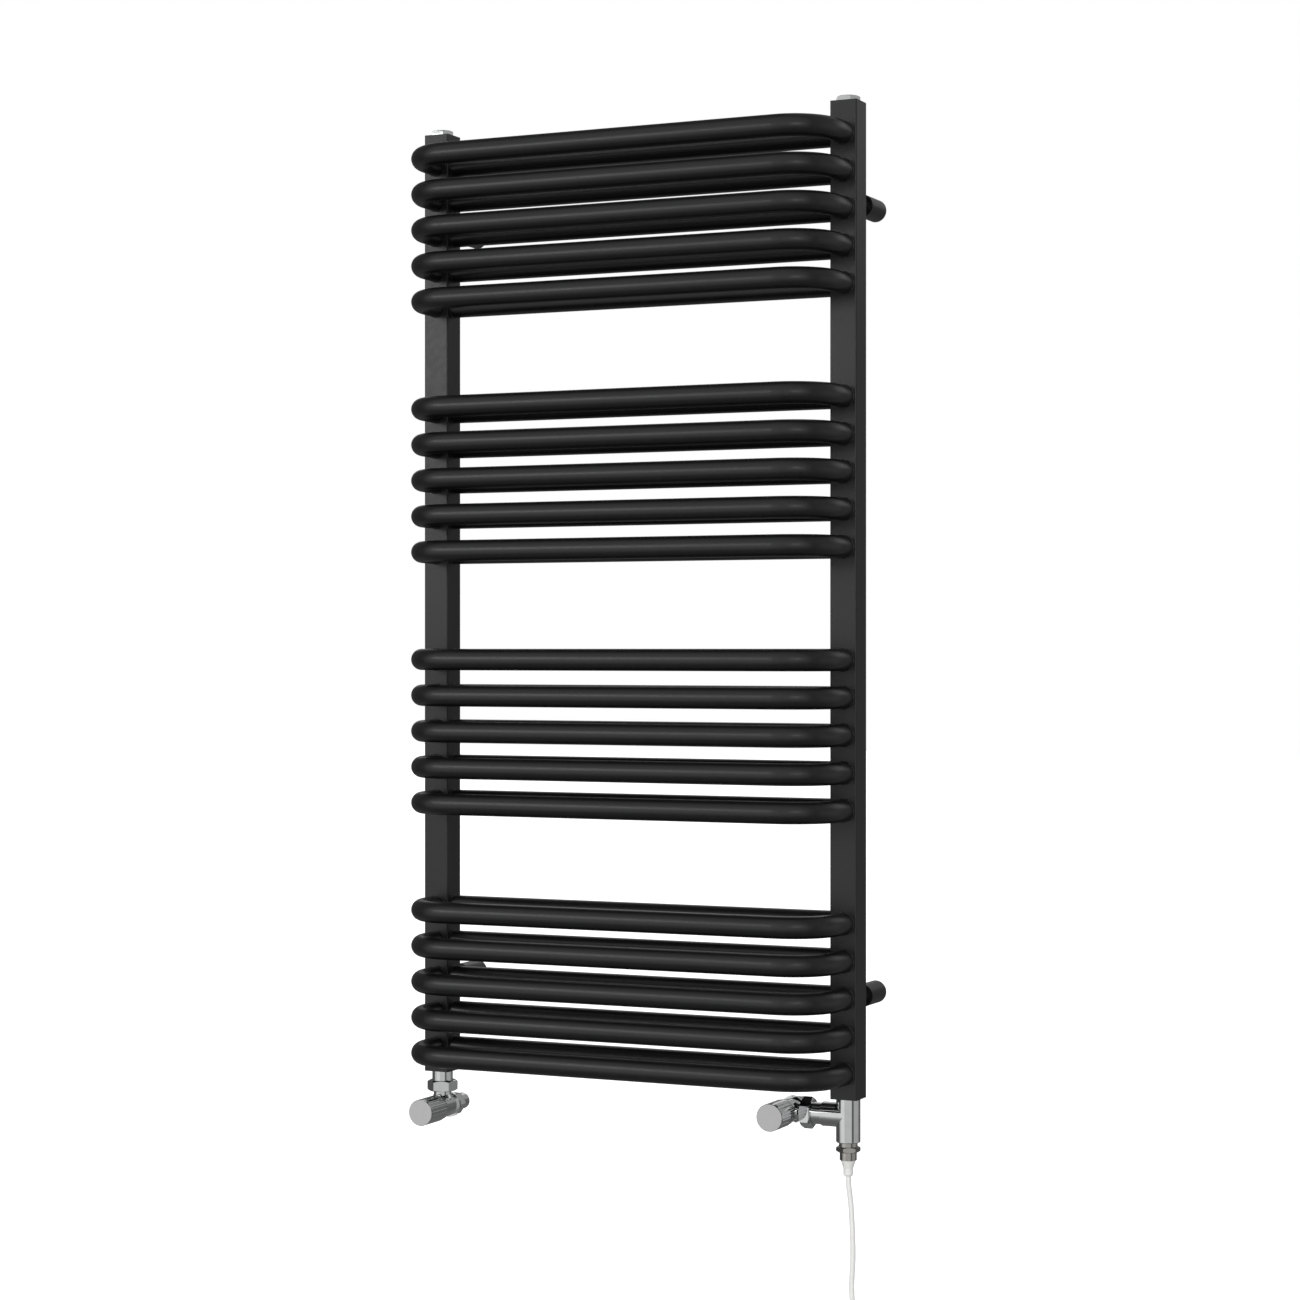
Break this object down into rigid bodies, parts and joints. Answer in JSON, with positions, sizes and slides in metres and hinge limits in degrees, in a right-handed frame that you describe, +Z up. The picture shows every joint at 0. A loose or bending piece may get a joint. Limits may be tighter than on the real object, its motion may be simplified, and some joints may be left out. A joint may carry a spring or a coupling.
{
  "type": "ladder radiator with valves",
  "caption": "Wall-hung ladder towel radiator with bowed front bars, two angle valves with knobs, and an electric element in a tee with its cable.",
  "frame": {"origin": "wall plane, in the middle of the four wall fixings", "axes": "+Z up, -Y to the front of the radiator, +Y into the wall, +X to the right seen from the front"},
  "size_m": [0.5517, 0.1905, 1.463],
  "materials": {
    "powder_coat": "satin black powder coat",
    "chrome": "bright plated brass",
    "plated_knob": "chrome-plated plastic",
    "knob_face": "plain satin grey disc",
    "brass": "machined",
    "black_rubber": "moulded",
    "steel": "machined",
    "white_pvc": "extruded, slightly satin",
    "core_pvc": "coloured core insulation"
  },
  "bodies": {
    "wall_side": {"wall_sleeves": "powder_coat", "grub_screws": "steel"},
    "radiator": {"air_vent_body": "chrome", "blanking_plug": "chrome", "bracket_stubs": "powder_coat", "cable": "white_pvc", "cable_boot": "white_pvc", "cable_coil": "white_pvc", "cable_cores": "core_pvc", "cap_seals": "black_rubber", "coil_tie": "white_pvc", "compression_nuts": "chrome", "cover_sleeves": "chrome", "element_head": "chrome", "element_rod": "steel", "front_bar_01": "powder_coat", "front_bar_02": "powder_coat", "front_bar_03": "powder_coat", "front_bar_04": "powder_coat", "front_bar_05": "powder_coat", "front_bar_06": "powder_coat", "front_bar_07": "powder_coat", "front_bar_08": "powder_coat", "front_bar_09": "powder_coat", "front_bar_10": "powder_coat", "front_bar_11": "powder_coat", "front_bar_12": "powder_coat", "front_bar_13": "powder_coat", "front_bar_14": "powder_coat", "front_bar_15": "powder_coat", "front_bar_16": "powder_coat", "front_bar_17": "powder_coat", "front_bar_18": "powder_coat", "front_bar_19": "powder_coat", "front_bar_20": "powder_coat", "gland_orings": "black_rubber", "left_tailpiece": "brass", "left_upright": "powder_coat", "left_valve_body": "chrome", "olives": "brass", "rear_bars_lower": "powder_coat", "rear_bars_upper": "powder_coat", "right_tailpiece": "brass", "right_upright": "powder_coat", "right_valve_body": "chrome", "tee_piece": "chrome", "union_nuts": "chrome", "upright_end_plates": "powder_coat", "valve_glands": "brass"},
    "bleed_screw": {"vent_screw": "steel"},
    "left_handwheel": {"left_knob": "plated_knob", "left_knob_disc": "knob_face"},
    "left_jumper": {"left_valve_plug": "brass", "left_seat_washer": "black_rubber"},
    "left_stem": {"left_spindle": "brass"},
    "right_handwheel": {"right_knob": "plated_knob", "right_knob_disc": "knob_face"},
    "right_jumper": {"right_valve_plug": "brass", "right_seat_washer": "black_rubber"},
    "right_stem": {"right_spindle": "brass"}
  },
  "joints": [
    {"name": "reach_adjustment", "type": "slide", "parent": "wall_side", "child": "radiator", "axis": [0, 1, 0], "range_m": [-0.01, 0.015]},
    {"name": "left_knob_turn", "type": "hinge", "parent": "radiator", "child": "left_handwheel", "pos_m": [-0.259, -0.089, -0.6017], "axis": [0, -1, 0], "range_deg": [0, 720]},
    {"name": "left_jumper_lift", "type": "slide", "parent": "radiator", "child": "left_jumper", "axis": [0, -1, 0], "range_m": [0, 0.003]},
    {"name": "left_stem_turn", "type": "hinge", "parent": "left_jumper", "child": "left_stem", "pos_m": [-0.259, -0.089, -0.6017], "axis": [0, -1, 0], "range_deg": [0, 720]},
    {"name": "right_knob_turn", "type": "hinge", "parent": "radiator", "child": "right_handwheel", "pos_m": [0.1855, -0.089, -0.5772], "axis": [0, -1, 0], "range_deg": [0, 720]},
    {"name": "right_jumper_lift", "type": "slide", "parent": "radiator", "child": "right_jumper", "axis": [0, -1, 0], "range_m": [0, 0.003]},
    {"name": "right_stem_turn", "type": "hinge", "parent": "right_jumper", "child": "right_stem", "pos_m": [0.1855, -0.089, -0.5772], "axis": [0, -1, 0], "range_deg": [0, 720]},
    {"name": "bleed_screw_turn", "type": "hinge", "parent": "radiator", "child": "bleed_screw", "pos_m": [0.259, -0.089, 0.558], "axis": [0, 0, 1], "range_deg": [0, 360]}
  ],
  "couplings": [
    {"joint": "left_jumper_lift", "follows": "left_knob_turn", "m_per_rad": 0.00023873},
    {"joint": "left_stem_turn", "follows": "left_knob_turn", "ratio": 1},
    {"joint": "right_jumper_lift", "follows": "right_knob_turn", "m_per_rad": 0.00023873},
    {"joint": "right_stem_turn", "follows": "right_knob_turn", "ratio": 1}
  ]
}
